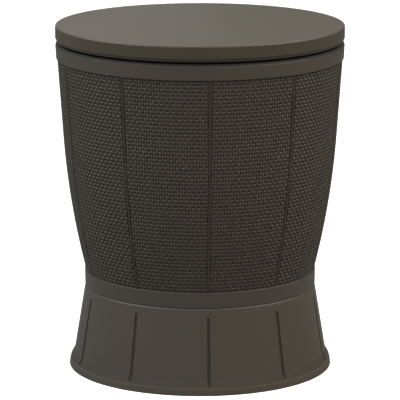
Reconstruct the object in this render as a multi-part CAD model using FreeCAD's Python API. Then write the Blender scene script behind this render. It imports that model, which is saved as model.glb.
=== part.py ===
import FreeCAD, Part
import math
import os

# Round cooler table: an ice bucket in a wicker-look barrel on a flared base, under a tabletop
# that is its lid, rises on a centre post and twists to lock. Millimetres, +Z up, front towards -Y.
# The origin is on the ground, on the axis. Angles are measured from the front towards +X.

Vector = FreeCAD.Vector
AXIS = Vector(0, 0, 1)

# Overall heights and rings seen from outside
closed_height = 590.4
lid_radius = 245.4
lid_side_height = 21.8
lid_split_gap = 0.8
under_ring_height = 2.8
under_ring_inset = 1.6
under_ring_round = 0.8
shadow_line = 4.5
band_height = 26.5
band_inset = 0.2
band_taper = 1.1
band_round = 4.5
band_upright = 5.0
band_foot_round = 1.0
base_height = 169.5

# Barrel: a cone in its upper part, then an arc that draws it in to the collar
weave_inset = 1.8
weave_lean = 0.0685
bend_height = 400.0
weave_draw_in = 45.5
weave_relief = 2.0
panel_count = 10
first_seam_angle = 4.0
batten_width = 3.5
batten_below_weave = 0.2
batten_start = 1.5
barrel_foot_step = 1.0

# Base: collar band, conical skirt with recessed grooves, foot with a small step
collar_height = 25.8
collar_stand_out = 1.5
collar_taper = 0.3
collar_round = 1.0
shadow_groove_depth = 1.5
shadow_groove_height = 3.3
skirt_inset = 0.2
skirt_spread = 19.1
flare_height = 24.3
foot_spread = 8.7
foot_step = 0.5
foot_step_height = 14.0
skirt_wall = 3.2
groove_width = 5.8
groove_depth = 1.6
groove_top = 128.0
groove_foot = 15.0

# Ledge inside the collar, and the deck that is screwed up against it
ledge_below_collar_top = 19.5
ledge_thickness = 3.0
ledge_width = 6.7
deck_thickness = 3.0
deck_hole_radius = 62.0
deck_ring_depth = 15.0
deck_ring_wall = 3.0
gusset_thickness = 2.4
gusset_depth = 20.0
gusset_end_gap = 5.0

# Walls and clearances
wall = 3.0
shell_clearance = 0.4
hole_clearance = 0.6
screw_clearance = 0.05
press_clearance = 0.05
running_clearance = 0.08
seat_gap = 0.3
edge_round = 1.0
# How far a cut runs past a face, or a rib runs into a wall
past = 1.0
# Edges nearer to a height or a face than this lie on it
tiny = 0.01

# Ice bucket
bucket_floor_rise = 18.5
bucket_foot_inset = 18.8
bucket_waist_inset = 35.3
bucket_waist_height = 340.0
bucket_mouth_inset = 18.3
bucket_corner = 14.0
rim_inner_round = 2.0
band_wall = 2.6

# Stand between the deck and the bucket's floor
stand_plate = 3.0
stand_ring_radius = 91.0
stand_web_thickness = 2.4
stand_web_inset = 18.0

# Lid
lid_edge_round = 2.5
lid_foot_round = 1.0
plug_clearance = 3.0
plug_depth = 15.0
plug_lean = 1.5
plug_round = 2.0
spigot_wall = 2.6
spigot_height = 7.0
seal_inset = 13.4
seal_width = 6.0
seal_groove_depth = 3.0
lid_rib_thickness = 2.2
lid_rib_height = 10.0
lid_rib_radii = (75.0, 135.0, 195.0)

# Column, post and twist lock
column_radius = 33.5
column_bore = 29.0
latch_bore = 30.3
latch_height = 16.0
latch_passage = 26.4
keyway_width = 9.0
keyway_radius = 28.3
chamber_radius = 28.4
column_foot_radius = 54.0
column_foot_thickness = 5.0
column_foot_plate = 6.0
column_foot_round = 2.0
column_foot_cone = 4.0
gasket_thickness = 2.0
gasket_inset = 1.0
stub_radius = 24.0
stub_bore = 18.0
stub_length = 26.0
nut_radius = 36.0
nut_flange_radius = 40.0
nut_flange_thickness = 3.0
nut_height = 17.0
nut_notch_radius = 5.0
nut_notches = 8
collar_radius = 37.0
collar_skirt_length = 18.0
collar_cap_height = 15.5
collar_guide_length = 13.0
collar_top_round = 4.0
chamber_height = 9.0
post_radius = 26.0
post_bore = 23.0
post_foot_above_floor = 32.0
pin_radius = 4.0
pin_length = 56.0
pin_chamfer = 0.8
pin_above_post_foot = 22.0
plug_insert_length = 30.0
journal_radius = 24.0
journal_length = 16.0
plug_flange_thickness = 4.0
glide_ring_play = 0.3
hub_flange_radius = 58.0
hub_flange_thickness = 4.0
hub_radius = 33.0
hub_length = 14.0
hub_above_collar = 2.5

# Drain at the back
drain_angle = 166.0
drain_above_floor = 2.5
drain_bore = 5.0
spout_radius = 8.0
spout_flange_radius = 12.0
spout_flange_thickness = 3.5
drain_gasket_thickness = 1.5
drain_gasket_inset = 0.5
sump_drop = 10.0
sump_half_width = 26.0
sump_stand_out = 6.0
sump_depth = 34.0
sump_top_rise = 36.0
pad_radius = 19.0
pad_stand_out = 11.2
spout_reach = 14.0
drain_nut_radius = 12.5
drain_nut_thickness = 6.0
cap_radius = 14.5
cap_top_thickness = 3.0
cap_seal_thickness = 2.0
cap_start_gap = 1.5
cap_grip_count = 12
cap_grip_radius = 2.0
cap_grip_start = 2.0
cap_round = 1.2

# Screws: head radius, head height, shank radius
large_screw = (6.0, 3.5, 2.7)
small_screw = (4.5, 3.0, 2.2)
boss_wall = 3.8
boss_roof = 2.0
pilot_depth = 0.5
shell_screw_inset = 14.8
shell_screw_length = 15.0
bucket_screw_radius = 120.0
bucket_screw_length = 25.0
bucket_screw_count = 5
lid_screw_inset = 12.0
lid_screw_length = 20.0
lid_screw_count = 10
socket_screw_radius = 45.0
socket_screw_length = 26.0
socket_screw_count = 6
post_screw_count = 2
post_screw_reach = 1.5
collar_screw_count = 3
collar_screw_length = 8.0
recess_depth = 1.5

# Heights that follow from the ones above
rim_top = closed_height - lid_side_height - lid_split_gap - under_ring_height - shadow_line
under_ring_foot = rim_top + shadow_line
under_ring_top = under_ring_foot + under_ring_height
lid_foot = under_ring_top + lid_split_gap
weave_top = rim_top - band_height
ledge_top = base_height - ledge_below_collar_top
deck_top = ledge_top - ledge_thickness
deck_foot = deck_top - deck_thickness
collar_foot = base_height - collar_height
skirt_top = collar_foot - shadow_groove_height
floor_top = base_height + bucket_floor_rise
floor_foot = floor_top - wall
plug_foot = under_ring_foot - plug_depth
hub_foot = plug_foot - hub_length
post_screw_height = hub_foot + (hub_length - hub_flange_thickness) / 2.0
collar_top = hub_foot - hub_above_collar
column_top = collar_top - collar_cap_height
guide_foot = column_top - collar_guide_length
latch_top = guide_foot - chamber_height
latch_foot = latch_top - latch_height
column_foot = floor_top + gasket_thickness
column_floor = column_foot + column_foot_plate
post_foot = column_floor + post_foot_above_floor
pin_height = post_foot + pin_above_post_foot
plug_flange_foot = post_foot - journal_length - plug_flange_thickness
drain_height = floor_top + drain_above_floor
sump_floor = floor_top - sump_drop
seam_step = 360.0 / panel_count

# Radii and faces that follow from the ones above
band_top_radius = lid_radius - band_inset
band_foot_radius = band_top_radius - band_taper
weave_top_radius = band_foot_radius - weave_inset
weave_foot_radius = weave_top_radius - weave_draw_in
barrel_foot_radius = weave_foot_radius - weave_relief + barrel_foot_step
collar_inner = barrel_foot_radius + shell_clearance
collar_top_radius = weave_foot_radius + collar_stand_out
collar_foot_radius = collar_top_radius - collar_taper
skirt_top_radius = collar_foot_radius - skirt_inset
flare_radius = skirt_top_radius + skirt_spread
foot_radius = flare_radius + foot_spread
ledge_radius = collar_inner - ledge_width
bucket_foot_radius = weave_foot_radius - bucket_foot_inset
bucket_waist_radius = weave_top_radius - bucket_waist_inset
bucket_mouth_radius = weave_top_radius - bucket_mouth_inset
stand_web_reach = bucket_foot_radius - stand_web_inset
seal_radius = lid_radius - seal_inset
sump_face = bucket_foot_radius + sump_stand_out
sump_inner_face = sump_face - sump_depth
pad_face = weave_foot_radius + pad_stand_out
spout_end = pad_face + spout_reach
shell_screw_radius = weave_foot_radius - shell_screw_inset


def weave_radius(height):
    """Radius of the woven surface: a leaning line above the bend and an arc tangent to it below."""
    if height >= bend_height:
        return weave_top_radius - weave_lean * (weave_top - height)
    centre_r, centre_z, radius = barrel_arc()
    return centre_r + math.sqrt(radius**2 - (height - centre_z) ** 2)


def barrel_arc():
    """Centre and radius of the arc that is tangent at the bend and meets the barrel's foot."""
    bend_r = weave_top_radius - weave_lean * (weave_top - bend_height)
    size = math.hypot(1.0, weave_lean)
    inward_r, inward_z = -1.0 / size, weave_lean / size
    across_r = weave_foot_radius - bend_r
    across_z = base_height - bend_height
    reach = across_r * inward_r + across_z * inward_z
    radius = (across_r**2 + across_z**2) / (2.0 * reach)
    return bend_r + radius * inward_r, bend_height + radius * inward_z, radius


def skirt_radius(height):
    """Outer radius of the conical skirt."""
    share = (skirt_top - height) / (skirt_top - flare_height)
    return skirt_top_radius + share * (flare_radius - skirt_top_radius)


def foot_curve(height, step):
    """Radius of the foot's rounded flare, upright at the ground; step is how far it is set in."""
    rise = foot_radius - flare_radius
    curve = (flare_height**2 + rise**2 - foot_step**2) / (2.0 * (rise - foot_step))
    return foot_radius - curve + math.sqrt((curve - step) ** 2 - height**2)


def point(radius, height):
    """A point of a section, drawn at the front."""
    return Vector(0, -radius, height)


def corner_edges(before, corner, after, rounding):
    """The arc that rounds a corner between two straight lines, with its start and end."""
    to_before = (before - corner).normalize()
    to_after = (after - corner).normalize()
    half_turn = to_before.getAngle(to_after) / 2.0
    start = corner + to_before * (rounding / math.tan(half_turn))
    end = corner + to_after * (rounding / math.tan(half_turn))
    bisector = (to_before + to_after).normalize()
    middle = corner + bisector * (rounding / math.sin(half_turn) - rounding)
    return start, middle, end


def section(*corners):
    """
    A closed face in the radius-height plane.

    Each corner is (radius, height) or (radius, height, rounding). A corner ("via", radius,
    height) makes the edge between its neighbours an arc through that point.
    """
    places = []
    for corner in corners:
        via = corner[0] == "via"
        numbers = corner[1:] if via else corner
        rounding = numbers[2] if len(numbers) > 2 else 0.0
        places.append((point(numbers[0], numbers[1]), via, rounding))
    count = len(places)
    starts = []
    ends = []
    edges = []
    for index, (place, via, rounding) in enumerate(places):
        if rounding:
            before = places[index - 1][0]
            after = places[(index + 1) % count][0]
            start, middle, end = corner_edges(before, place, after, rounding)
            edges.append(Part.Arc(start, middle, end).toShape())
        else:
            start = end = place
        starts.append(start)
        ends.append(end)
    for index, (place, via, rounding) in enumerate(places):
        following = (index + 1) % count
        if via:
            edges.append(Part.Arc(ends[index - 1], place, starts[following]).toShape())
        elif not places[following][1]:
            edges.append(Part.makeLine(ends[index], starts[following]))
    return Part.Face(Part.Wire(Part.__sortEdges__(edges)))


def ring(*corners):
    """A solid of revolution about the upright axis."""
    solid = section(*corners).revolve(Vector(0, 0, 0), AXIS, 360)
    return Part.Solid(Part.Shell(solid.Faces)) if solid.ShapeType != "Solid" else solid


def slab(width, angle, *corners):
    """A flat rib that stands along a radius, from a section in the radius-height plane."""
    solid = section(*corners).extrude(Vector(width, 0, 0))
    solid.translate(Vector(-width / 2.0, 0, 0))
    return at_angle(solid, angle)


def at_angle(shape, angle):
    """The shape, modelled at the front, carried round the axis to its angle."""
    placed = shape.copy()
    placed.rotate(Vector(0, 0, 0), AXIS, angle)
    return placed


def cylinder(radius, foot, top, distance=0.0):
    """An upright cylinder between two heights, a distance from the axis towards the front."""
    return Part.makeCylinder(radius, top - foot, point(distance, foot), AXIS)


def level_cylinder(radius, inner, outer, height):
    """A level cylinder that points away from the axis, at the front."""
    return Part.makeCylinder(radius, outer - inner, point(inner, height), Vector(0, -1, 0))


def joined(first, *others):
    """One solid from pieces that overlap or meet."""
    return first.multiFuse(list(others))


def around(shape, count, start=0.0):
    """Copies of a shape, evenly round the axis."""
    return [at_angle(shape, start + 360.0 * index / count) for index in range(count)]


def seams(shape):
    """Copies of a shape at the seams between the panels."""
    return around(shape, panel_count, first_seam_angle)


def mid_panels(shape):
    """Copies of a shape half way between the seams."""
    return around(shape, panel_count, first_seam_angle + seam_step / 2.0)


def screw(kind, length):
    """A screw that points up from the origin, its head below, with a six-sided recess."""
    head_radius, head_height, shank_radius = kind
    head = Part.makeCylinder(head_radius, head_height, Vector(0, 0, -head_height), AXIS)
    foot_edges = [edge for edge in head.Edges if edge.BoundBox.ZMax < -head_height / 2.0]
    head = head.makeFillet(head_height / 4.0, foot_edges[:1])
    shank = Part.makeCylinder(shank_radius, length - shank_radius)
    tip_height = Vector(0, 0, length - shank_radius)
    tip = Part.makeCone(shank_radius, shank_radius / 2.0, shank_radius, tip_height, AXIS)
    turns = [math.radians(60.0 * index) for index in range(7)]
    reach = shank_radius
    low = -head_height
    outline = [Vector(reach * math.cos(turn), reach * math.sin(turn), low) for turn in turns]
    recess = Part.Face(Part.makePolygon(outline)).extrude(Vector(0, 0, recess_depth))
    return joined(head, shank, tip).cut(recess)


def screw_up(kind, length, distance, height):
    """A screw driven upwards, its head against the face at this height."""
    placed = screw(kind, length)
    placed.translate(point(distance, height))
    return placed


def screw_in(kind, length, distance, height):
    """A screw driven towards the axis, its head against the face at this distance."""
    placed = screw(kind, length)
    placed.rotate(Vector(0, 0, 0), Vector(1, 0, 0), -90)
    placed.translate(point(distance, height))
    return placed


def base_skirt():
    """Collar band with its inner ledge, grooved skirt and foot in one moulding."""
    groove_back = collar_foot_radius - shadow_groove_depth
    inner_flare = flare_radius - skirt_wall
    foot_inner = foot_radius - skirt_wall
    mid_upper = (flare_height + foot_step_height) / 2.0
    mid_lower = foot_step_height / 2.0
    body = ring(
        (collar_inner, base_height),
        (collar_top_radius, base_height, collar_round),
        (collar_foot_radius, collar_foot),
        (groove_back, collar_foot - shadow_groove_height / 4.0),
        (groove_back, skirt_top + shadow_groove_height / 2.0),
        (skirt_top_radius, skirt_top),
        (flare_radius, flare_height),
        ("via", foot_curve(mid_upper, foot_step), mid_upper),
        (foot_curve(foot_step_height, foot_step), foot_step_height),
        (foot_curve(foot_step_height, 0.0), foot_step_height),
        ("via", foot_curve(mid_lower, 0.0), mid_lower),
        (foot_radius, 0.0),
        (foot_inner, 0.0),
        ("via", foot_curve(foot_step_height, 0.0) - skirt_wall, foot_step_height),
        (inner_flare, flare_height),
        (skirt_radius(deck_top) - skirt_wall, deck_top),
        (ledge_radius, deck_top),
        (ledge_radius, ledge_top),
        (collar_inner, ledge_top),
    )
    step_radius = foot_curve(groove_foot, foot_step)
    beyond = foot_radius
    groove = slab(
        groove_width,
        0.0,
        (skirt_radius(groove_top) - groove_depth, groove_top),
        (flare_radius - groove_depth, flare_height),
        (step_radius - groove_depth, groove_foot),
        (beyond, groove_foot),
        (beyond, groove_top),
    )
    return body.cut(Part.makeCompound(seams(groove)))


def base_deck():
    """Deck under the ledge: round plate with a ring round its hole, and gussets below it."""
    deck_radius = skirt_radius(deck_top) - skirt_wall - shell_clearance
    ring_outer = deck_hole_radius + deck_ring_wall
    body = ring(
        (deck_hole_radius, deck_top),
        (deck_radius, deck_top),
        (deck_radius, deck_foot),
        (ring_outer, deck_foot),
        (ring_outer, deck_foot - deck_ring_depth),
        (deck_hole_radius, deck_foot - deck_ring_depth),
    )
    gusset_foot = deck_foot - gusset_depth
    gusset = slab(
        gusset_thickness,
        0.0,
        (deck_hole_radius + deck_ring_wall / 2.0, deck_foot + deck_thickness / 2.0),
        (deck_hole_radius + deck_ring_wall / 2.0, deck_foot - deck_ring_depth),
        (deck_radius - gusset_end_gap, gusset_foot),
        (deck_radius - gusset_end_gap, deck_foot + deck_thickness / 2.0),
    )
    shell_hole = cylinder(
        small_screw[2] + hole_clearance, deck_foot - past, deck_top + past, shell_screw_radius
    )
    bucket_hole = cylinder(
        large_screw[2] + hole_clearance, deck_foot - past, deck_top + past, bucket_screw_radius
    )
    cuts = seams(shell_hole) + around(bucket_hole, bucket_screw_count, first_seam_angle)
    return joined(body, *mid_panels(gusset)).cut(Part.makeCompound(cuts))


def barrel_shell():
    """Wicker-look shell: ground surface, battens at the seams, drain pad and foot flange."""
    step = base_height + barrel_foot_step
    arc_mid = (bend_height + step) / 2.0
    top = rim_top - wall - seat_gap

    def ground(height):
        return weave_radius(height) - weave_relief

    def inside(height):
        return ground(height) - wall

    solid = ring(
        (0.0, ledge_top),
        (barrel_foot_radius, ledge_top),
        (barrel_foot_radius, base_height),
        (ground(step), step),
        ("via", ground(arc_mid), arc_mid),
        (ground(bend_height), bend_height),
        (ground(weave_top), weave_top),
        (ground(weave_top), top),
        (0.0, top),
    )
    cavity = ring(
        (0.0, ledge_top + wall),
        (barrel_foot_radius - wall, ledge_top + wall),
        (barrel_foot_radius - wall, base_height - wall),
        (inside(step), step),
        ("via", inside(arc_mid), arc_mid),
        (inside(bend_height), bend_height),
        (inside(weave_top), weave_top),
        (inside(weave_top), top + past),
        (0.0, top + past),
    )
    batten_foot = base_height + batten_start
    raised = weave_relief - batten_below_weave
    batten = slab(
        batten_width,
        0.0,
        (ground(batten_foot) - past, batten_foot),
        (ground(batten_foot) + raised, batten_foot),
        ("via", ground(arc_mid) + raised, arc_mid),
        (ground(bend_height) + raised, bend_height),
        (ground(weave_top) + raised, weave_top),
        (ground(weave_top) - past, weave_top),
        (ground(bend_height) - past, bend_height),
        ("via", ground(arc_mid) - past, arc_mid),
    )
    pad = level_cylinder(pad_radius, sump_face, pad_face, drain_height)
    shell = joined(solid, at_angle(pad, drain_angle), *seams(batten)).cut(cavity)
    flange_inner = shell_screw_radius - small_screw[2] - boss_wall - boss_wall
    opening = cylinder(flange_inner, ledge_top - past, ledge_top + wall + past)
    pilot_top = deck_foot + shell_screw_length + pilot_depth
    boss_top = pilot_top + boss_roof
    boss = cylinder(small_screw[2] + boss_wall, deck_top, boss_top, shell_screw_radius)
    pilot = cylinder(
        small_screw[2] + screw_clearance, deck_top - past, pilot_top, shell_screw_radius
    )
    outlet = level_cylinder(
        spout_radius + hole_clearance, sump_inner_face, pad_face + past, drain_height
    )
    cuts = [opening, at_angle(outlet, drain_angle)] + seams(pilot)
    return joined(shell, *seams(boss)).cut(Part.makeCompound(cuts))


def rim_band():
    """Band round the bucket's mouth: it covers the barrel's top edge and stands on it."""
    inner = bucket_mouth_radius + wall + press_clearance
    return ring(
        (inner, rim_top),
        (band_top_radius, rim_top, band_round),
        (band_top_radius, rim_top - band_upright),
        (band_foot_radius, weave_top, band_foot_round),
        (band_foot_radius - band_wall, weave_top),
        (band_top_radius - band_wall, rim_top - wall),
        (inner, rim_top - wall),
    )


def ice_bucket():
    """Liner with its floor and sump."""
    centre_hole = stub_radius + hole_clearance
    tub = ring(
        (centre_hole, floor_top),
        (bucket_foot_radius, floor_top, bucket_corner),
        (bucket_waist_radius, bucket_waist_height),
        (bucket_mouth_radius, rim_top - wall),
        (bucket_mouth_radius, rim_top, rim_inner_round),
        (bucket_mouth_radius + wall, rim_top),
        (bucket_mouth_radius + wall, rim_top - wall),
        (bucket_waist_radius + wall, bucket_waist_height),
        (bucket_foot_radius + wall, floor_foot, bucket_corner + wall),
        (centre_hole, floor_foot),
    )
    drain_hole = level_cylinder(
        spout_radius + press_clearance, sump_inner_face, sump_face + wall + past, drain_height
    )
    cuts = [at_angle(sump_space(), drain_angle), at_angle(drain_hole, drain_angle)]
    return joined(tub, at_angle(sump_walls(), drain_angle)).cut(Part.makeCompound(cuts))


def bucket_stand():
    """Stand that carries the bucket on the deck: plate, ring, webs and screw bosses."""
    body = ring(
        (stub_radius + hole_clearance, floor_foot),
        (stand_ring_radius, floor_foot),
        (stand_ring_radius, deck_top),
        (stand_ring_radius - wall, deck_top),
        (stand_ring_radius - wall, floor_foot - stand_plate),
        (stub_radius + hole_clearance, floor_foot - stand_plate),
    )
    web = slab(
        stand_web_thickness,
        0.0,
        (stand_ring_radius - wall / 2.0, deck_top),
        (stand_web_reach, deck_top),
        (stand_web_reach, floor_foot),
        (stand_ring_radius - wall / 2.0, floor_foot),
    )
    boss = cylinder(large_screw[2] + boss_wall, deck_top, floor_foot, bucket_screw_radius)
    pilot_top = deck_foot + bucket_screw_length + pilot_depth
    pilot = cylinder(
        large_screw[2] + screw_clearance, deck_top - past, pilot_top, bucket_screw_radius
    )
    posts = around(web, bucket_screw_count, first_seam_angle)
    posts += around(boss, bucket_screw_count, first_seam_angle)
    cuts = around(pilot, bucket_screw_count, first_seam_angle)
    return joined(body, *posts).cut(Part.makeCompound(cuts))


def sump_space():
    """The hollow of the sump, at the front."""
    top = floor_top + sump_top_rise
    return front_box(sump_half_width, sump_inner_face, sump_face, sump_floor, top)


def sump_walls():
    """The sump's block outside the bucket's own hollow, at the front."""
    block = front_box(
        sump_half_width + wall,
        sump_inner_face - wall,
        sump_face + wall,
        sump_floor - wall,
        floor_top + sump_top_rise,
    )
    middle = wall / 2.0
    hollow = ring(
        (0.0, floor_foot + middle),
        (bucket_foot_radius + middle, floor_foot + middle, bucket_corner + middle),
        (bucket_waist_radius + middle, bucket_waist_height),
        (bucket_mouth_radius + middle, rim_top),
        (0.0, rim_top),
    )
    return block.cut(hollow)


def front_box(half_width, inner, outer, foot, top):
    """A box at the front, between two distances from the axis."""
    corner = Vector(-half_width, -outer, foot)
    return Part.makeBox(2.0 * half_width, outer - inner, top - foot, corner)


def column_tube():
    """Fixed tube with its foot flange, closed floor, threaded stub and a counterbore on top."""
    return ring(
        (0.0, column_foot),
        (stub_bore, column_foot),
        (stub_bore, column_foot - gasket_thickness - stub_length),
        (stub_radius, column_foot - gasket_thickness - stub_length),
        (stub_radius, column_foot),
        (column_foot_radius, column_foot),
        (column_foot_radius, column_foot + column_foot_thickness, column_foot_round),
        (column_radius + column_foot_cone, column_foot + column_foot_thickness),
        (column_radius, column_foot + column_foot_thickness + column_foot_cone),
        (column_radius, column_top),
        (latch_bore, column_top),
        (latch_bore, latch_foot),
        (column_bore, latch_foot),
        (column_bore, column_floor),
        (0.0, column_floor),
    ).cut(Part.makeCompound(around(collar_screw_hole(), collar_screw_count)))


def collar_screw_hole():
    """The hole that a collar screw takes in the column and the collar."""
    height = column_top - collar_skirt_length / 2.0
    radius = small_screw[2] + screw_clearance
    return level_cylinder(radius, collar_radius - collar_screw_length - past, collar_radius, height)


def column_gasket():
    """Flat ring between the column's flange and the bucket floor."""
    return ring(
        (stub_radius + hole_clearance, floor_top),
        (column_foot_radius - gasket_inset, floor_top),
        (column_foot_radius - gasket_inset, column_foot),
        (stub_radius + hole_clearance, column_foot),
    )


def column_nut():
    """Notched nut that clamps the column, the bucket's floor and the stand together."""
    inner = stub_radius + press_clearance
    top = floor_foot - stand_plate
    foot = top - nut_height
    body = ring(
        (inner, foot),
        (nut_radius, foot, edge_round),
        (nut_radius, top - nut_flange_thickness),
        (nut_flange_radius, top - nut_flange_thickness),
        (nut_flange_radius, top),
        (inner, top),
    )
    notch = cylinder(
        nut_notch_radius, foot - past, top - nut_flange_thickness, nut_radius + past
    )
    return body.cut(Part.makeCompound(around(notch, nut_notches)))


def latch_ring():
    """Ring in the column with two keyways for the lock pin, which rests on it when turned."""
    outer = latch_bore - press_clearance
    body = ring(
        (latch_passage, latch_foot),
        (outer, latch_foot),
        (outer, latch_top),
        (latch_passage, latch_top),
    )
    half_width = keyway_width / 2.0
    keyways = []
    for angle in (90.0, 270.0):
        box = front_box(half_width, 0.0, keyway_radius, latch_foot - past, latch_top + past)
        keyways.append(at_angle(box, angle))
    return body.cut(Part.makeCompound(keyways))


def column_collar():
    """Cap on the column: guides the post, keeps the latch ring down and stops the pin."""
    guide = post_radius + running_clearance
    skirt_inner = column_radius + press_clearance
    body = ring(
        (guide, guide_foot),
        (chamber_radius, guide_foot),
        (chamber_radius, latch_top),
        (latch_bore - press_clearance, latch_top),
        (latch_bore - press_clearance, column_top),
        (skirt_inner, column_top),
        (skirt_inner, column_top - collar_skirt_length),
        (collar_radius, column_top - collar_skirt_length, edge_round),
        (collar_radius, collar_top, collar_top_round),
        (guide, collar_top),
    )
    return body.cut(Part.makeCompound(around(collar_screw_hole(), collar_screw_count)))


def collar_screws():
    """Screws through the collar's skirt and the column's wall."""
    height = column_top - collar_skirt_length / 2.0
    one = screw_in(small_screw, collar_screw_length, collar_radius, height)
    return Part.makeCompound(around(one, collar_screw_count))


def lift_post():
    """Inner tube that carries the tabletop, with cross holes for its pin and its screws."""
    tube = ring(
        (post_bore, post_foot),
        (post_radius, post_foot),
        (post_radius, plug_foot),
        (post_bore, plug_foot),
    )
    return tube.cut(Part.makeCompound([pin_hole()] + post_screw_holes()))


def pin_hole():
    """Cross hole for the lock pin, through the post and its plug."""
    length = 2.0 * (post_radius + past)
    start = Vector(-length / 2.0, 0, pin_height)
    return Part.makeCylinder(pin_radius + press_clearance, length, start, Vector(1, 0, 0))


def post_screw_holes():
    """Cross holes for the screws that hold the post in its hub."""
    radius = small_screw[2] + screw_clearance
    hole = level_cylinder(radius, post_bore - wall, hub_radius + past, post_screw_height)
    return around(hole, post_screw_count)


def lock_pin():
    """Steel pin across the post, with its ends chamfered."""
    start = Vector(-pin_length / 2.0, 0, pin_height)
    pin = Part.makeCylinder(pin_radius, pin_length, start, Vector(1, 0, 0))
    ends = [edge for edge in pin.Edges if edge.BoundBox.XLength < tiny]
    return pin.makeChamfer(pin_chamfer, ends)


def post_plug():
    """End plug of the post: the part inside the tube, the journal below it and a flange."""
    plug = ring(
        (0.0, plug_flange_foot),
        (post_radius, plug_flange_foot, edge_round),
        (post_radius, plug_flange_foot + plug_flange_thickness),
        (journal_radius, plug_flange_foot + plug_flange_thickness),
        (journal_radius, post_foot),
        (post_bore - press_clearance, post_foot),
        (post_bore - press_clearance, post_foot + plug_insert_length),
        (0.0, post_foot + plug_insert_length),
    )
    return plug.cut(pin_hole())


def glide_ring():
    """Ring that runs on the plug's journal and slides in the column."""
    foot = plug_flange_foot + plug_flange_thickness + glide_ring_play / 2.0
    top = post_foot - glide_ring_play / 2.0
    outer = column_bore - running_clearance
    return ring(
        (journal_radius + running_clearance, foot),
        (outer, foot, edge_round),
        (outer, top, edge_round),
        (journal_radius + running_clearance, top),
    )


def lid_socket():
    """Flanged hub under the lid that holds the post's top."""
    bore = post_radius + press_clearance
    hub = ring(
        (bore, hub_foot),
        (hub_radius, hub_foot, edge_round),
        (hub_radius, plug_foot - hub_flange_thickness),
        (hub_flange_radius, plug_foot - hub_flange_thickness, edge_round),
        (hub_flange_radius, plug_foot),
        (bore, plug_foot),
    )
    hole = cylinder(
        small_screw[2] + hole_clearance, hub_foot, plug_foot + past, socket_screw_radius
    )
    cuts = around(hole, socket_screw_count) + post_screw_holes()
    return hub.cut(Part.makeCompound(cuts))


def post_screws():
    """Screws through the hub into the post."""
    length = hub_radius - post_bore + post_screw_reach
    one = screw_in(small_screw, length, hub_radius, post_screw_height)
    return Part.makeCompound(around(one, post_screw_count))


def socket_screws():
    """Screws that hold the hub to the under-shell and the top."""
    height = plug_foot - hub_flange_thickness
    one = screw_up(small_screw, socket_screw_length, socket_screw_radius, height)
    return Part.makeCompound(around(one, socket_screw_count))


def lid_bottom():
    """Under-shell: outer ring, seal groove, spigot inside the top, and a dished plug."""
    outer = lid_radius - under_ring_inset
    plug_outer = bucket_mouth_radius - plug_clearance
    spigot_outer = lid_radius - wall - shell_clearance
    seal_inner = seal_radius - seal_width / 2.0 - press_clearance
    seal_outer = seal_radius + seal_width / 2.0 + press_clearance
    groove_top = under_ring_foot + seal_groove_depth
    hump_top = groove_top + under_ring_height
    body = ring(
        (0.0, plug_foot),
        (plug_outer - plug_lean, plug_foot, plug_round),
        (plug_outer, under_ring_foot),
        (seal_inner, under_ring_foot),
        (seal_inner, groove_top),
        (seal_outer, groove_top),
        (seal_outer, under_ring_foot),
        (outer, under_ring_foot, under_ring_round),
        (outer, under_ring_top),
        (spigot_outer, under_ring_top),
        (spigot_outer, under_ring_top + spigot_height),
        (spigot_outer - spigot_wall, under_ring_top + spigot_height),
        (spigot_outer - spigot_wall, hump_top),
        (plug_outer - wall, hump_top),
        (plug_outer - wall - plug_lean, plug_foot + wall),
        (0.0, plug_foot + wall),
    )
    socket_hole = cylinder(
        small_screw[2] + hole_clearance, plug_foot - past, plug_foot + wall + past, socket_screw_radius
    )
    lid_hole = cylinder(
        small_screw[2] + hole_clearance, plug_foot - past, plug_foot + wall + past, lid_screw_circle()
    )
    cuts = around(socket_hole, socket_screw_count) + around(lid_hole, lid_screw_count)
    return body.cut(Part.makeCompound(cuts))


def lid_screw_circle():
    """Radius of the circle of lid screws, inside the plug's wall."""
    return bucket_mouth_radius - plug_clearance - wall - lid_screw_inset


def lid_seal():
    """Rubber ring in the under-shell's groove, which rests on the bucket's rim."""
    return ring(
        (seal_radius - seal_width / 2.0, rim_top, edge_round),
        (seal_radius + seal_width / 2.0, rim_top, edge_round),
        (seal_radius + seal_width / 2.0, under_ring_foot + seal_groove_depth),
        (seal_radius - seal_width / 2.0, under_ring_foot + seal_groove_depth),
    )


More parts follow.
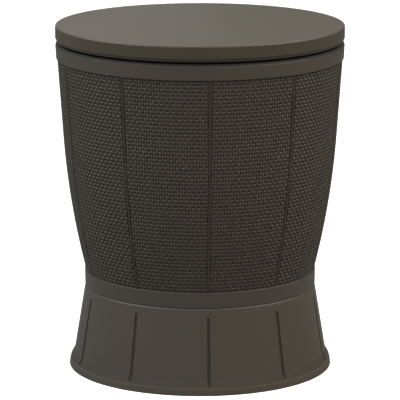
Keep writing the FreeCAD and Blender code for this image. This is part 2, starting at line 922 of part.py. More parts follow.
def lid_top():
    """Tabletop: plate, side, ribs below and the bosses for the lid and socket screws."""
    plate_foot = closed_height - wall
    body = ring(
        (0.0, closed_height),
        (lid_radius, closed_height, lid_edge_round),
        (lid_radius, lid_foot, lid_foot_round),
        (lid_radius - wall, lid_foot),
        (lid_radius - wall, plate_foot),
        (0.0, plate_foot),
    )
    rib_foot = plate_foot - lid_rib_height
    rings = []
    for radius in lid_rib_radii:
        rings.append(
            ring(
                (radius - lid_rib_thickness, rib_foot),
                (radius, rib_foot),
                (radius, plate_foot + past),
                (radius - lid_rib_thickness, plate_foot + past),
            )
        )
    spoke = slab(
        lid_rib_thickness,
        0.0,
        (lid_rib_radii[0] - lid_rib_thickness / 2.0, rib_foot),
        (lid_radius - 2.0 * wall - spigot_wall, rib_foot),
        (lid_radius - wall / 2.0, rib_foot + lid_rib_height / 2.0),
        (lid_radius - wall / 2.0, plate_foot + past),
        (lid_rib_radii[0] - lid_rib_thickness / 2.0, plate_foot + past),
    )
    boss_foot = plug_foot + wall
    boss_radius = small_screw[2] + boss_wall
    pieces = list(rings)
    pieces += around(spoke, lid_screw_count, 180.0 / lid_screw_count)
    cuts = []
    for distance, count, length, head_face in (
        (lid_screw_circle(), lid_screw_count, lid_screw_length, plug_foot),
        (
            socket_screw_radius,
            socket_screw_count,
            socket_screw_length,
            plug_foot - hub_flange_thickness,
        ),
    ):
        boss = cylinder(boss_radius, boss_foot, plate_foot + past, distance)
        pilot_top = head_face + length + pilot_depth
        pilot = cylinder(
            small_screw[2] + screw_clearance, boss_foot - past, pilot_top, distance
        )
        pieces += around(boss, count)
        cuts += around(pilot, count)
    return joined(body, *pieces).cut(Part.makeCompound(cuts))


def lid_screws():
    """Screws that hold the two lid shells together."""
    one = screw_up(small_screw, lid_screw_length, lid_screw_circle(), plug_foot)
    return Part.makeCompound(around(one, lid_screw_count))


def shell_screws():
    """Screws through the deck into the barrel shell's bosses."""
    one = screw_up(small_screw, shell_screw_length, shell_screw_radius, deck_foot)
    return Part.makeCompound(seams(one))


def bucket_screws():
    """Screws through the deck into the stand's bosses."""
    one = screw_up(large_screw, bucket_screw_length, bucket_screw_radius, deck_foot)
    return Part.makeCompound(around(one, bucket_screw_count, first_seam_angle))


def drain_spout():
    """Flange in the sump and the tube that leaves through the bucket wall and the shell."""
    flange_back = sump_face - drain_gasket_thickness
    flange = level_cylinder(
        spout_flange_radius, flange_back - spout_flange_thickness, flange_back, drain_height
    )
    tube = level_cylinder(spout_radius, flange_back - past, spout_end, drain_height)
    bore = level_cylinder(
        drain_bore, flange_back - spout_flange_thickness - past, spout_end + past, drain_height
    )
    return at_angle(joined(flange, tube).cut(bore), drain_angle)


def drain_gasket():
    """Flat ring between the spout's flange and the sump wall."""
    outer = level_cylinder(
        spout_flange_radius - drain_gasket_inset, sump_face - drain_gasket_thickness, sump_face, drain_height
    )
    hole = level_cylinder(
        spout_radius + press_clearance, sump_inner_face, sump_face + past, drain_height
    )
    return at_angle(outer.cut(hole), drain_angle)


def drain_nut():
    """Six-sided nut on the spout, behind the sump wall."""
    face = sump_face + wall
    outline = []
    for index in range(7):
        turn = math.radians(60.0 * index)
        side = drain_nut_radius * math.cos(turn)
        rise = drain_nut_radius * math.sin(turn)
        outline.append(Vector(side, -face, drain_height + rise))
    nut = Part.Face(Part.makePolygon(outline)).extrude(Vector(0, -drain_nut_thickness, 0))
    hole = level_cylinder(
        spout_radius + press_clearance, face - past, face + drain_nut_thickness + past, drain_height
    )
    return at_angle(nut.cut(hole), drain_angle)


def drain_cap():
    """Screw cap with a fluted grip."""
    start = pad_face + cap_start_gap
    seal_face = spout_end + cap_seal_thickness
    end = seal_face + cap_top_thickness
    body = level_cylinder(cap_radius, start, end, drain_height)
    end_edges = [edge for edge in body.Edges if edge.BoundBox.YMax < -end + tiny]
    body = body.makeFillet(cap_round, end_edges)
    hollow = level_cylinder(spout_radius + seat_gap, start - past, seal_face, drain_height)
    grips = []
    for index in range(cap_grip_count):
        turn = 2.0 * math.pi * index / cap_grip_count
        grip = level_cylinder(cap_grip_radius, start + cap_grip_start, end + past, 0.0)
        reach = cap_radius + cap_grip_radius / 2.0
        grip.translate(Vector(reach * math.cos(turn), 0, drain_height + reach * math.sin(turn)))
        grips.append(grip)
    return at_angle(body.cut(hollow).cut(Part.makeCompound(grips)), drain_angle)


def cap_seal():
    """Washer between the spout's end and the cap."""
    face = spout_end + cap_seal_thickness
    return at_angle(level_cylinder(spout_radius, spout_end, face, drain_height), drain_angle)


pieces = {
    "base_skirt": base_skirt,
    "base_deck": base_deck,
    "barrel_shell": barrel_shell,
    "rim_band": rim_band,
    "ice_bucket": ice_bucket,
    "bucket_stand": bucket_stand,
    "shell_screws": shell_screws,
    "bucket_screws": bucket_screws,
    "column_tube": column_tube,
    "column_gasket": column_gasket,
    "column_nut": column_nut,
    "latch_ring": latch_ring,
    "column_collar": column_collar,
    "collar_screws": collar_screws,
    "drain_spout": drain_spout,
    "drain_gasket": drain_gasket,
    "drain_nut": drain_nut,
    "drain_cap": drain_cap,
    "cap_seal": cap_seal,
    "glide_ring": glide_ring,
    "lift_post": lift_post,
    "lock_pin": lock_pin,
    "post_plug": post_plug,
    "lid_socket": lid_socket,
    "post_screws": post_screws,
    "socket_screws": socket_screws,
    "lid_bottom": lid_bottom,
    "lid_seal": lid_seal,
    "lid_top": lid_top,
    "lid_screws": lid_screws,
}

os.makedirs("parts", exist_ok=True)
for name, make in pieces.items():
    shape = make()
    solids = shape.Solids
    print(name, len(solids), "solids", round(shape.Volume / 1000.0, 2), "cm3", shape.isValid())
    if len(solids) == 1:
        shape = solids[0]
    shape.exportStep(f"parts/{name}.step")
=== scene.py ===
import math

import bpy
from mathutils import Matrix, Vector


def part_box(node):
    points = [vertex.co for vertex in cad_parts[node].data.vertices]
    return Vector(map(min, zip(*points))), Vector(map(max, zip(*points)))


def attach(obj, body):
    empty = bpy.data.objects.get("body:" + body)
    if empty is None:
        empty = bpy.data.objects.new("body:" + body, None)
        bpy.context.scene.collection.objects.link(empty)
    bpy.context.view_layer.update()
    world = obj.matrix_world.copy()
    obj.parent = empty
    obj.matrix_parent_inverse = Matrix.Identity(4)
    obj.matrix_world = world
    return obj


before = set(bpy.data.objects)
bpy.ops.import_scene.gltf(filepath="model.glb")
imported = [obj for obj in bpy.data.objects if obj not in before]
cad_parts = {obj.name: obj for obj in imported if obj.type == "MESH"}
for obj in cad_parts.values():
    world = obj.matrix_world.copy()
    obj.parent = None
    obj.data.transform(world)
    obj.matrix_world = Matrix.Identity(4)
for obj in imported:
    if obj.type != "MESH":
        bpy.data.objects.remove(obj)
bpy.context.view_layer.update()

# Round cooler table, closed: a wicker-look barrel on a flared base, under a tabletop that is its
# lid. Metres, in the model's own frame. The front faces -Y, and angles are measured from it
# towards +X.

MM = 0.001

# Heights read from the model
RIM_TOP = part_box("rim_band")[1].z
COLLAR_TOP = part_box("base_skirt")[1].z

# Woven surface: a leaning line above the bend and an arc that is tangent to it below
WEAVE_FOOT = COLLAR_TOP
WEAVE_TOP = RIM_TOP - 26.5 * MM
WEAVE_TOP_RADIUS = 242.3 * MM
WEAVE_FOOT_RADIUS = 196.8 * MM
WEAVE_LEAN = 0.0685
BEND_HEIGHT = 400 * MM

# Panels and the battens between them
PANELS = 10
PANEL_TURN = math.radians(360.0 / PANELS)
FIRST_SEAM = math.radians(4.0)
BATTEN_WIDTH = 3.5 * MM
BATTEN_GAP = 1.4 * MM

# Weave: stakes stand upright, and strands run round the barrel
STAKE_COLUMNS = 33
STAKE_PITCH = 4.85 * MM
STAKE_WIDTH = 2.8 * MM
STAKE_CROWN = 0.3 * MM
STRAND_ROWS = 58
WEAVE_END_GAP = 1.6 * MM
STRAND_PITCH = (WEAVE_TOP - WEAVE_FOOT - 2.0 * WEAVE_END_GAP) / STRAND_ROWS
STRAND_WIDTH = 3.7 * MM
STRAND_CROWN = 0.9 * MM
UNDER_DEPTH = 2.5 * MM
SIDE_HEIGHT = 2.0 * MM
WELD_DISTANCE = 0.01 * MM

# Along a cane, from the middle of its crossing: where it leaves its crest, where it is fully
# under, and how much faster it dives at its lower end than at its upper one
STAKE_WAVE = (2.0 * MM, 6.2 * MM, 1.5)
STRAND_WAVE = (1.6 * MM, 4.8 * MM, 1.0)

# A cane is made from a grid of points. Across it, what lies within a share of its half width is
# its top, which is stretched to the full width, and the outermost points make its sides.
CANE_POINTS = 7
CANE_TOP = 0.8
CANE_STRETCH = 1.5

# Drain pad, which the weave stops short of
PAD_TURN = math.radians(166.0)
PAD_RADIUS = 20.0 * MM
PAD_HEIGHT = sum(corner.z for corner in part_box("drain_spout")) / 2.0

# Moulded plastic: the scales of its clouds and its grain, the grain's depth, and how far its
# colour and its roughness vary
CLOUD_SCALE = 9.0
GRAIN_SCALE = 1400.0
GRAIN_DEPTH = 0.06 * MM
COLOUR_CHANGE = 0.05
SMOOTHER, ROUGHER = 0.05, 0.06

# Screws and pin: the scale of their turning marks and the roughness these vary between
MARKS_SCALE = 2500.0
STEEL_SMOOTH, STEEL_ROUGH = 0.24, 0.38

# How far past a batten's edge its darker colour reaches
BATTEN_MARGIN = 0.2 * MM

# The band's top edge under the lid, how much painted shade darkens it, and how much rougher it is
RIM_EDGE_FOOT = RIM_TOP - 4.5 * MM
RIM_EDGE_TOP = RIM_TOP - 2.0 * MM
RIM_EDGE_PAINTED_SHADE = 0.8
RIM_EDGE_DULL = 0.35

# The base's collar
COLLAR_FOOT = COLLAR_TOP - 26.5 * MM
COLLAR_DARK = 0.12

# The grooves in the skirt: half their width, the part where the shade painted in them is darkest,
# the skirt's radius there, where they end, and how dark that painted shade is
GROOVE_REACH = 2.9 * MM
GROOVE_CORE = 0.4 * GROOVE_REACH
GROOVE_RADIUS = 212.0 * MM
GROOVE_FOOT = 15.0 * MM
GROOVE_TOP = 128.0 * MM
GROOVE_PAINTED_SHADE = 0.55

# Where the foot steps out, with a fine line of painted shade, and a painted highlight on the foot,
# strongest along its edge just below the line
FOOT_LINE = 13.6 * MM
LINE_REACH = 0.5 * MM
LINE_PAINTED_SHADE = 0.3
HIGHLIGHT_FOOT = FOOT_LINE - 4.0 * MM
HIGHLIGHT_TOP = FOOT_LINE - 0.8 * MM
HIGHLIGHT_LEAST = 0.35

# Where the skirt flares, how gently that starts, how much painted shade darkens the flare from its
# foot to its top, and how much rougher it is
FLARE_TOP = 24.3 * MM
FLARE_START = FLARE_TOP + 1.5 * MM
FLARE_END = FLARE_TOP - 1.0 * MM
FLARE_SHADE_FOOT, FLARE_SHADE_TOP = 0.15, 0.35
FLARE_DULL = 0.45

# Surround, floor and camera
SURROUND_LIGHT = 0.26
FLOOR_SIZE = 40.0
FLOOR_GLOW = 0.85
CAMERA_PLACE = (0.0, -4.8895, 1.3377)
CAMERA_TILT = 12.15
CAMERA_LENS = 262.4
CAMERA_SENSOR = 36.0

WHITE = (1.0, 1.0, 1.0)
BLACK = (0.0, 0.0, 0.0)
WARM = (1.0, 0.985, 0.95)
WARMER = (1.0, 0.985, 0.92)
COOL = (0.85, 1.0, 1.13)

# Lamps: place, what they face, size in metres, watts and colour
LAMPS = {
    "front": ((0.0, -2.6, 3.3), (0.0, 0.0, 0.3), (4.5, 0.8), 56.0, WARM),
    "left": ((-2.7, -0.4, 3.3), (0.0, 0.0, 0.3), (4.0, 2.0), 190.0, COOL),
    "right": ((2.7, -0.4, 3.3), (0.0, 0.0, 0.3), (4.0, 2.0), 172.0, WHITE),
    "rear": ((0.0, 2.6, 3.3), (0.0, 0.0, 0.3), (4.5, 0.8), 38.0, WARM),
    "back left": ((-1.1, 3.6, 1.4), (-1.1, 0.0, 0.6), (2.2, 1.6), 3.0, WARMER),
    "back right": ((1.1, 3.6, 1.4), (1.1, 0.0, 0.6), (2.2, 1.6), 0.2, WARMER),
}


class Sheet:
    """Lays nodes in a node tree. An input takes a socket, a number, a vector or a colour."""

    def __init__(self, tree):
        self.tree = tree

    def add(self, kind, values=None, **settings):
        """A node with its settings, and values for its inputs by name or place."""
        node = self.tree.nodes.new(kind)
        for name, value in settings.items():
            setattr(node, name, value)
        for name, value in (values or {}).items():
            if isinstance(value, bpy.types.NodeSocket):
                self.tree.links.new(value, node.inputs[name])
            else:
                node.inputs[name].default_value = value
        return node

    def sum(self, operation, first, second=0.0, third=0.0):
        """The result of a sum on numbers."""
        values = {0: first, 1: second, 2: third}
        return self.add("ShaderNodeMath", values, operation=operation).outputs[0]

    def ramp(self, value, start, end, low=0.0, high=1.0):
        """A number that goes from low to high while the value goes from start to end."""
        values = {"Value": value, "From Min": start, "From Max": end, "To Min": low, "To Max": high}
        return self.add("ShaderNodeMapRange", values).outputs[0]

    def distance(self, across, up):
        """The length of the slope over two sides at a right angle."""
        square = self.sum("MULTIPLY", up, up)
        return self.sum("SQRT", self.sum("MULTIPLY_ADD", across, across, square))

    def place(self, x, y, z):
        """A vector from three numbers."""
        return self.add("ShaderNodeCombineXYZ", {0: x, 1: y, 2: z}).outputs[0]

    def parts(self, vector):
        """The three numbers of a vector."""
        return self.add("ShaderNodeSeparateXYZ", {0: vector}).outputs

    def either(self, condition, if_false, if_true):
        """One of two numbers, in a shape's tree."""
        values = {0: condition, 1: if_false, 2: if_true}
        return self.add("GeometryNodeSwitch", values, input_type="FLOAT").outputs[0]

    def point(self):
        """Where a point of a shape is, as three numbers."""
        return self.parts(self.add("GeometryNodeInputPosition").outputs[0])

    def moved(self, mesh, **how):
        """The mesh with its points moved, by Position and Selection."""
        return self.add("GeometryNodeSetPosition", {"Geometry": mesh, **how}).outputs[0]


class Finish(Sheet):
    """A new material, whose nodes are laid in front of its shader."""

    def __init__(self, name):
        self.material = bpy.data.materials.new(name)
        self.material.use_nodes = True
        super().__init__(self.material.node_tree)
        self.shader = self.tree.nodes["Principled BSDF"]

    def spot(self):
        """Where a spot of the piece is, as a vector in the model's frame."""
        return self.add("ShaderNodeTexCoord").outputs["Object"]

    def noise(self, scale, detail, **more):
        """A number that wanders over the piece."""
        values = {"Vector": self.spot(), "Scale": scale, "Detail": detail, **more}
        return self.add("ShaderNodeTexNoise", values).outputs[0]

    def mixed(self, share, first, second):
        """A colour between two. Each is a socket or three numbers."""
        pair = [c if isinstance(c, bpy.types.NodeSocket) else (*c, 1.0) for c in (first, second)]
        values = {0: share, 6: pair[0], 7: pair[1]}
        return self.add("ShaderNodeMix", values, data_type="RGBA").outputs[2]

    def feed(self, name, socket):
        """Leads a socket to an input of the shader."""
        self.tree.links.new(socket, self.shader.inputs[name])

    def fed(self, name):
        """What is led to an input of the shader so far."""
        return self.shader.inputs[name].links[0].from_socket

    def paint(self, share, colour):
        """Takes the colour towards another by a share that changes over the piece."""
        self.feed("Base Color", self.mixed(share, self.fed("Base Color"), colour))

    def dull(self, share, amount):
        """Makes the piece rougher by an amount, times a share that changes over it."""
        self.feed("Roughness", self.sum("MULTIPLY_ADD", share, amount, self.fed("Roughness")))

    def off_seam(self, spot, radius):
        """How far a spot is from the nearest seam between panels, round a radius."""
        towards_front = self.sum("MULTIPLY", spot[1], -1.0)
        turn = self.sum("ARCTAN2", spot[0], towards_front)
        from_seam = self.sum("PINGPONG", self.sum("SUBTRACT", turn, FIRST_SEAM), PANEL_TURN / 2.0)
        return self.sum("MULTIPLY", from_seam, radius)


def barrel_arc():
    """Centre and radius of the arc below the bend, in the radius-height plane."""
    bend_radius = WEAVE_TOP_RADIUS - WEAVE_LEAN * (WEAVE_TOP - BEND_HEIGHT)
    inward = Vector((-1.0, WEAVE_LEAN)).normalized()
    across = Vector((WEAVE_FOOT_RADIUS - bend_radius, WEAVE_FOOT - BEND_HEIGHT))
    radius = across.length_squared / (2.0 * across.dot(inward))
    return bend_radius + radius * inward.x, BEND_HEIGHT + radius * inward.y, radius


def woven_radius(sheet, height):
    """Radius of the woven surface at a height, worked out in nodes."""
    centre_r, centre_z, radius = barrel_arc()
    fall = sheet.sum("SUBTRACT", WEAVE_TOP, height)
    line = sheet.sum("MULTIPLY_ADD", fall, -WEAVE_LEAN, WEAVE_TOP_RADIUS)
    rise = sheet.sum("SUBTRACT", height, centre_z)
    square = sheet.sum("SUBTRACT", radius**2, sheet.sum("MULTIPLY", rise, rise))
    arc = sheet.sum("ADD", centre_r, sheet.sum("SQRT", square))
    return sheet.either(sheet.sum("GREATER_THAN", height, BEND_HEIGHT), arc, line)


def cane(sheet, length, width, crown, depth, wave, upright=False):
    """
    One arched length of cane: over its neighbour in the middle and under the next at its ends.

    It is crowned across its width, and its sides stand on the ground.
    """
    crest, dip, dive = wave
    size_x, size_y = (width, length) if upright else (length, width)
    flat = sheet.add(
        "GeometryNodeMeshGrid",
        {"Size X": size_x, "Size Y": size_y, "Vertices X": CANE_POINTS, "Vertices Y": CANE_POINTS},
    ).outputs[0]
    run, side, _ = sheet.point()
    if upright:
        run, side = side, run
    from_crossing = sheet.sum("MAXIMUM", run, sheet.sum("MULTIPLY", run, -dive))
    arch = sheet.ramp(from_crossing, crest, dip, 0.0, depth)
    half_width = sheet.sum("MULTIPLY", width, 0.5)
    share = sheet.sum("DIVIDE", side, half_width)
    from_middle = sheet.sum("ABSOLUTE", share)
    on_top = sheet.sum("LESS_THAN", from_middle, CANE_TOP)
    flat = sheet.add("GeometryNodeSetShadeSmooth", {"Geometry": flat, "Shade Smooth": on_top})
    spread = sheet.sum("MINIMUM", sheet.sum("MULTIPLY", from_middle, CANE_STRETCH), 1.0)
    fall = sheet.sum("MULTIPLY", sheet.sum("MULTIPLY", spread, spread), crown)
    on_side = sheet.sum("GREATER_THAN", from_middle, CANE_TOP)
    drop = sheet.either(on_side, fall, SIDE_HEIGHT)
    height = sheet.sum("MULTIPLY", sheet.sum("ADD", arch, drop), -1.0)
    out = sheet.sum("MULTIPLY", sheet.sum("MULTIPLY", sheet.sum("SIGN", share), spread), half_width)
    place = sheet.place(out, run, height) if upright else sheet.place(run, out, height)
    return sheet.moved(flat.outputs[0], Position=place)


def flat_weave(sheet, given):
    """A panel's plain weave, laid flat: strands and stakes take turns on top."""
    across = sheet.sum("MULTIPLY", given["Stake pitch"], STAKE_COLUMNS - 1)
    tall = sheet.sum("MULTIPLY", given["Strand pitch"], STRAND_ROWS - 1)
    crossings = sheet.add(
        "GeometryNodeMeshGrid",
        {"Size X": across, "Size Y": tall, "Vertices X": STAKE_COLUMNS, "Vertices Y": STRAND_ROWS},
    ).outputs[0]
    x, y, _ = sheet.point()
    from_left = sheet.sum("MULTIPLY_ADD", across, 0.5, x)
    from_foot = sheet.sum("MULTIPLY_ADD", tall, 0.5, y)
    column = sheet.sum("ROUND", sheet.sum("DIVIDE", from_left, given["Stake pitch"]))
    row = sheet.sum("ROUND", sheet.sum("DIVIDE", from_foot, given["Strand pitch"]))
    odd = sheet.sum("FLOORED_MODULO", sheet.sum("ADD", column, row), 2.0)
    even = sheet.sum("SUBTRACT", 1.0, odd)
    strand = cane(
        sheet,
        sheet.sum("MULTIPLY", given["Stake pitch"], 2.0),
        given["Strand width"],
        given["Strand crown"],
        given["Under depth"],
        STRAND_WAVE,
    )
    stake = cane(
        sheet,
        sheet.sum("MULTIPLY", given["Strand pitch"], 2.0),
        given["Stake width"],
        given["Stake crown"],
        given["Under depth"],
        STAKE_WAVE,
        upright=True,
    )
    both = sheet.add("GeometryNodeJoinGeometry")
    for shape, where in ((strand, even), (stake, odd)):
        values = {"Points": crossings, "Selection": where, "Instance": shape}
        laid = sheet.add("GeometryNodeInstanceOnPoints", values)
        sheet.tree.links.new(laid.outputs[0], both.inputs[0])
    return sheet.add("GeometryNodeRealizeInstances", {0: both.outputs[0]}).outputs[0]


def woven_panel_tree(finish):
    """
    Node tree for one panel: a plain weave laid flat, trimmed, then bent round the barrel.

    The weave is cut off along the battens' gaps and round the drain pad.
    """
    tree = bpy.data.node_groups.new("woven panel", "GeometryNodeTree")
    tree.interface.new_socket("Panel", in_out="OUTPUT", socket_type="NodeSocketGeometry")
    tree.interface.new_socket("Blank", in_out="INPUT", socket_type="NodeSocketGeometry")
    sizes = {
        "Middle angle": 0.0,
        "Half angle": PANEL_TURN / 2.0,
        "Edge gap": BATTEN_WIDTH / 2.0 + BATTEN_GAP,
        "Stake pitch": STAKE_PITCH,
        "Stake width": STAKE_WIDTH,
        "Strand pitch": STRAND_PITCH,
        "Strand width": STRAND_WIDTH,
        "Stake crown": STAKE_CROWN,
        "Strand crown": STRAND_CROWN,
        "Under depth": UNDER_DEPTH,
        "Pad radius": 0.0,
    }
    for name, value in sizes.items():
        socket = tree.interface.new_socket(name, in_out="INPUT", socket_type="NodeSocketFloat")
        socket.default_value = value
    sheet = Sheet(tree)
    given = sheet.add("NodeGroupInput").outputs
    flat = flat_weave(sheet, given)

    side, rise, lift = sheet.point()
    height = sheet.sum("ADD", rise, (WEAVE_FOOT + WEAVE_TOP) / 2.0)
    radius = woven_radius(sheet, height)
    half_arc = sheet.sum("MULTIPLY", radius, given["Half angle"])
    edge = sheet.sum("SUBTRACT", half_arc, given["Edge gap"])
    past_edge = sheet.sum("GREATER_THAN", sheet.sum("ABSOLUTE", side), edge)
    pad_rise = sheet.sum("SUBTRACT", height, PAD_HEIGHT)
    from_pad = sheet.distance(side, pad_rise)
    on_pad = sheet.sum("LESS_THAN", from_pad, given["Pad radius"])
    cut = sheet.sum("MAXIMUM", past_edge, on_pad)
    trimmed = sheet.add("GeometryNodeDeleteGeometry", {0: flat, 1: cut}, domain="FACE").outputs[0]
    to_edge = sheet.place(sheet.sum("MULTIPLY", sheet.sum("SIGN", side), edge), rise, lift)
    trimmed = sheet.moved(trimmed, Selection=past_edge, Position=to_edge)
    outwards = sheet.sum("DIVIDE", given["Pad radius"], from_pad)
    further = sheet.sum("SUBTRACT", outwards, 1.0)
    to_ring = sheet.place(
        sheet.sum("MULTIPLY", side, outwards),
        sheet.sum("MULTIPLY_ADD", pad_rise, further, rise),
        lift,
    )
    trimmed = sheet.moved(trimmed, Selection=on_pad, Position=to_ring)

    turn = sheet.sum("ADD", sheet.sum("DIVIDE", side, radius), given["Middle angle"])
    out = sheet.sum("ADD", radius, lift)
    forwards = sheet.sum("MULTIPLY", out, sheet.sum("COSINE", turn))
    round_barrel = sheet.place(
        sheet.sum("MULTIPLY", out, sheet.sum("SINE", turn)),
        sheet.sum("MULTIPLY", forwards, -1.0),
        height,
    )
    bent = sheet.moved(trimmed, Position=round_barrel)
    weld = {"Geometry": bent, "Distance": WELD_DISTANCE}
    merged = sheet.add("GeometryNodeMergeByDistance", weld).outputs[0]
    painted = sheet.add("GeometryNodeSetMaterial", {"Geometry": merged, "Material": finish})
    sheet.add("NodeGroupOutput", {0: painted.outputs[0]})
    return tree


def from_tree(name, tree, sizes):
    """A plain mesh object made by a node tree, with these sizes as its named inputs."""
    blank = bpy.data.objects.new(name + " blank", bpy.data.meshes.new(name + " blank"))
    bpy.context.scene.collection.objects.link(blank)
    modifier = blank.modifiers.new("shape", "NODES")
    modifier.node_group = tree
    for item in tree.interface.items_tree:
        if item.in_out == "INPUT" and item.name in sizes:
            modifier[item.identifier] = sizes[item.name]
    evaluated = blank.evaluated_get(bpy.context.evaluated_depsgraph_get())
    mesh = bpy.data.meshes.new_from_object(evaluated)
    mesh.name = name
    bpy.data.objects.remove(blank)
    piece = bpy.data.objects.new(name, mesh)
    bpy.context.scene.collection.objects.link(piece)
    return piece


def moulded_plastic(name, colour, roughness, grain=0.35, ior=1.46):
    """Moulded plastic: slightly uneven colour and gloss, and a fine grain."""
    finish = Finish(name)
    cloud = finish.noise(CLOUD_SCALE, detail=4.0, Roughness=0.6)
    fine = finish.noise(GRAIN_SCALE, detail=2.0)
    light = [channel * (1.0 + COLOUR_CHANGE) for channel in colour]
    dark = [channel * (1.0 - COLOUR_CHANGE) for channel in colour]
    finish.feed("Base Color", finish.mixed(cloud, dark, light))
    gloss = finish.ramp(fine, 0.0, 1.0, roughness - SMOOTHER, roughness + ROUGHER)
    finish.feed("Roughness", gloss)
    relief = {"Height": fine, "Strength": grain, "Distance": GRAIN_DEPTH}
    finish.feed("Normal", finish.add("ShaderNodeBump", relief).outputs[0])
    finish.shader.inputs["IOR"].default_value = ior
    return finish


def barrel_plastic(name, ground, raised):
    """The barrel's plastic, darker on the battens and the drain pad than behind the weave."""
    finish = moulded_plastic(name, ground, roughness=0.60, ior=1.3)
    spot = finish.parts(finish.spot())
    off_seam = finish.off_seam(spot, WEAVE_TOP_RADIUS)
    on_batten = finish.sum("LESS_THAN", off_seam, BATTEN_WIDTH / 2.0 + BATTEN_MARGIN)
    sideways = finish.sum("MULTIPLY", spot[1], math.sin(PAD_TURN))
    across = finish.sum("MULTIPLY_ADD", spot[0], math.cos(PAD_TURN), sideways)
    from_pad = finish.distance(across, finish.sum("SUBTRACT", spot[2], PAD_HEIGHT))
    near_pad = finish.sum("LESS_THAN", from_pad, PAD_RADIUS)
    on_pad = finish.sum("MULTIPLY", near_pad, finish.sum("GREATER_THAN", spot[1], 0.0))
    finish.paint(finish.sum("MAXIMUM", on_batten, on_pad), raised)
    return finish


def rim_plastic(name, colour):
    """The band's plastic, duller where its top edge rounds over, and darkened there by painted
    shade under the lid.
    """
    finish = moulded_plastic(name, colour, roughness=0.55)
    height = finish.parts(finish.spot())[2]
    at_edge = finish.ramp(height, RIM_EDGE_FOOT, RIM_EDGE_TOP)
    # Painted shade: the band's top edge is mixed towards black under the lid
    finish.paint(finish.sum("MULTIPLY", at_edge, RIM_EDGE_PAINTED_SHADE), BLACK)
    finish.dull(at_edge, RIM_EDGE_DULL)
    return finish


def skirt_plastic(name, colour, foot_highlight_colour):
    """
    The base's plastic: a little darker on the collar, with painted shade over the flare and in the
    grooves.

    A fine line of painted shade marks where the foot steps out, over a foot that a painted
    highlight makes lighter, most of all along its upper edge.
    """
    finish = moulded_plastic(name, colour, roughness=0.47)
    spot = finish.parts(finish.spot())
    height = spot[2]
    # Painted shade in the grooves, darkest along their middle, between their ends
    in_groove = finish.ramp(finish.off_seam(spot, GROOVE_RADIUS), GROOVE_REACH, GROOVE_CORE)
    above_end = finish.sum("GREATER_THAN", height, GROOVE_FOOT)
    along = finish.sum("MULTIPLY", above_end, finish.sum("LESS_THAN", height, GROOVE_TOP))
    groove_shade = finish.sum("MULTIPLY", finish.sum("MULTIPLY", in_groove, along), GROOVE_PAINTED_SHADE)
    # Painted shade over the flare, to dim the light its upward slope catches
    on_flare = finish.ramp(height, FLARE_START, FLARE_END)
    flare_shade_depth = finish.ramp(height, FOOT_LINE, FLARE_TOP, FLARE_SHADE_FOOT, FLARE_SHADE_TOP)
    flare = finish.sum("MULTIPLY", on_flare, flare_shade_depth)
    # Painted shade: a fine dark line where the foot steps out
    off_line = finish.sum("ABSOLUTE", finish.sum("SUBTRACT", height, FOOT_LINE))
    line = finish.sum("MULTIPLY", finish.sum("LESS_THAN", off_line, LINE_REACH), LINE_PAINTED_SHADE)
    on_collar = finish.sum("GREATER_THAN", height, COLLAR_FOOT)
    collar = finish.sum("MULTIPLY", on_collar, COLLAR_DARK)
    low_shade = finish.sum("MAXIMUM", flare, line)
    finish.paint(finish.sum("MAXIMUM", low_shade, finish.sum("MAXIMUM", groove_shade, collar)), BLACK)
    # Painted highlight on the foot below the line, strongest along its upper edge
    foot_highlight = finish.ramp(height, HIGHLIGHT_FOOT, HIGHLIGHT_TOP, HIGHLIGHT_LEAST, 1.0)
    below_line = finish.sum("LESS_THAN", height, FOOT_LINE - LINE_REACH)
    finish.paint(finish.sum("MULTIPLY", foot_highlight, below_line), foot_highlight_colour)
    finish.dull(on_flare, FLARE_DULL)
    return finish


def brushed_steel(name):
    """Plated steel with fine turning marks."""
    finish = Finish(name)
    marks = finish.noise(MARKS_SCALE, detail=3.0)
    finish.feed("Base Color", finish.mixed(marks, (0.52, 0.51, 0.49), (0.66, 0.65, 0.63)))
    finish.feed("Roughness", finish.ramp(marks, 0.0, 1.0, STEEL_SMOOTH, STEEL_ROUGH))
    finish.shader.inputs["Metallic"].default_value = 1.0
    return finish


def finishes():
    """The finish of every CAD node."""
    shell = moulded_plastic("shell plastic", (0.050, 0.038, 0.025), roughness=0.55)
    top = moulded_plastic("lid plastic", (0.047, 0.036, 0.023), roughness=0.39, ior=1.35)
    rim = rim_plastic("rim plastic", (0.046, 0.034, 0.021))
    # The skirt's second colour is its painted highlight on the foot
    skirt = skirt_plastic("skirt plastic", (0.049, 0.037, 0.024), (0.070, 0.054, 0.036))
    barrel = barrel_plastic("barrel plastic", (0.045, 0.036, 0.025), (0.036, 0.028, 0.018))
    column = moulded_plastic("column plastic", (0.050, 0.044, 0.037), roughness=0.38)
    bearing = moulded_plastic("bearing plastic", (0.55, 0.54, 0.50), roughness=0.35)
    drain = moulded_plastic("drain plastic", (0.030, 0.028, 0.026), roughness=0.40)
    rubber = moulded_plastic("seal rubber", (0.032, 0.029, 0.026), roughness=0.75, grain=0.6)
    steel = brushed_steel("screw steel")
    return {
        "base_skirt": skirt,
        "base_deck": shell,
        "barrel_shell": barrel,
        "rim_band": rim,
        "ice_bucket": shell,
        "bucket_stand": shell,
        "column_tube": column,
        "column_nut": column,
        "latch_ring": bearing,
        "column_collar": column,
        "drain_spout": drain,
        "drain_nut": drain,
        "drain_cap": drain,
        "glide_ring": bearing,
        "lift_post": column,
        "post_plug": column,
        "lid_socket": column,
        "lid_bottom": top,
        "lid_top": top,
        "column_gasket": rubber,
        "drain_gasket": rubber,
        "cap_seal": rubber,
        "lid_seal": rubber,
        "lock_pin": steel,
        "shell_screws": steel,
        "bucket_screws": steel,
        "collar_screws": steel,
        "post_screws": steel,
        "socket_screws": steel,
        "lid_screws": steel,
    }


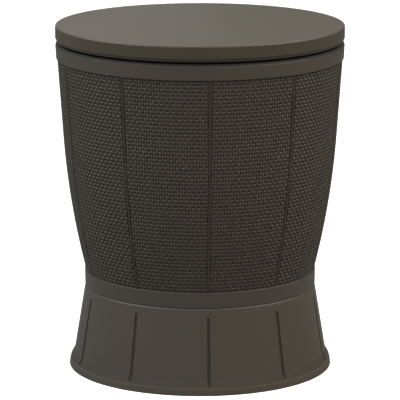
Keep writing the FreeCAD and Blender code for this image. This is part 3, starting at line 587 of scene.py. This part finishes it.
def dress_nodes():
    """Gives every CAD node its finish."""
    finish_of = finishes()
    for name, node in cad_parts.items():
        node.data.materials.clear()
        node.data.materials.append(finish_of[name].material)


def weave_panels():
    """The ten woven panels between the battens."""
    colour = (0.048, 0.038, 0.025)
    finish = moulded_plastic("cane plastic", colour, roughness=0.34, grain=0.1, ior=1.40)
    tree = woven_panel_tree(finish.material)
    for index in range(PANELS):
        middle = FIRST_SEAM + PANEL_TURN * (index + 0.5)
        has_pad = abs(middle - PAD_TURN) < PANEL_TURN / 2.0
        sizes = {"Middle angle": middle, "Pad radius": PAD_RADIUS if has_pad else 0.0}
        panel = from_tree(f"woven_panel_{index + 1:02d}", tree, sizes)
        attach(panel, "cooler_body")


def surround():
    """A white surround that lights the object much less than it shows."""
    world = bpy.data.worlds.new("surround")
    bpy.context.scene.world = world
    world.use_nodes = True
    sheet = Sheet(world.node_tree)
    seen = sheet.add("ShaderNodeLightPath").outputs["Is Camera Ray"]
    strength = sheet.sum("MULTIPLY_ADD", seen, 1.0 - SURROUND_LIGHT, SURROUND_LIGHT)
    background = world.node_tree.nodes["Background"]
    background.inputs["Color"].default_value = (*WHITE, 1.0)
    world.node_tree.links.new(strength, background.inputs["Strength"])


def floor():
    """A pale floor that fades to white towards the camera, and is dimmer in reflections."""
    bpy.ops.mesh.primitive_plane_add(size=FLOOR_SIZE)
    plane = bpy.context.object
    plane.name = "studio_floor"
    finish = Finish("pale floor")
    finish.shader.inputs["Roughness"].default_value = 0.9
    finish.shader.inputs["Emission Color"].default_value = (*WHITE, 1.0)
    ray = finish.add("ShaderNodeLightPath").outputs
    shade = finish.mixed(ray["Is Glossy Ray"], (0.50, 0.50, 0.50), (0.18, 0.18, 0.18))
    finish.feed("Base Color", shade)
    finish.feed("Emission Strength", finish.sum("MULTIPLY", ray["Is Camera Ray"], FLOOR_GLOW))
    plane.data.materials.append(finish.material)


def lamp(name, place, target, size, watts, colour):
    """A long soft lamp that faces a target."""
    light = bpy.data.lights.new(name, "AREA")
    light.shape = "RECTANGLE"
    light.size, light.size_y = size
    light.energy = watts
    light.color = colour
    holder = bpy.data.objects.new(name, light)
    holder.location = place
    facing = Vector(target) - Vector(place)
    holder.rotation_euler = facing.to_track_quat("-Z", "Y").to_euler()
    bpy.context.scene.collection.objects.link(holder)


def camera():
    """The camera at the photograph's height, distance and tilt."""
    lens = bpy.data.cameras.new("camera")
    lens.sensor_width = CAMERA_SENSOR
    lens.lens = CAMERA_LENS
    holder = bpy.data.objects.new("camera", lens)
    holder.location = CAMERA_PLACE
    holder.rotation_euler = (math.radians(90.0 - CAMERA_TILT), 0.0, 0.0)
    bpy.context.scene.collection.objects.link(holder)
    bpy.context.scene.camera = holder


dress_nodes()
weave_panels()
surround()
floor()
for lamp_name, setup in LAMPS.items():
    lamp(lamp_name, *setup)
camera()
bpy.context.scene.view_settings.view_transform = "Standard"
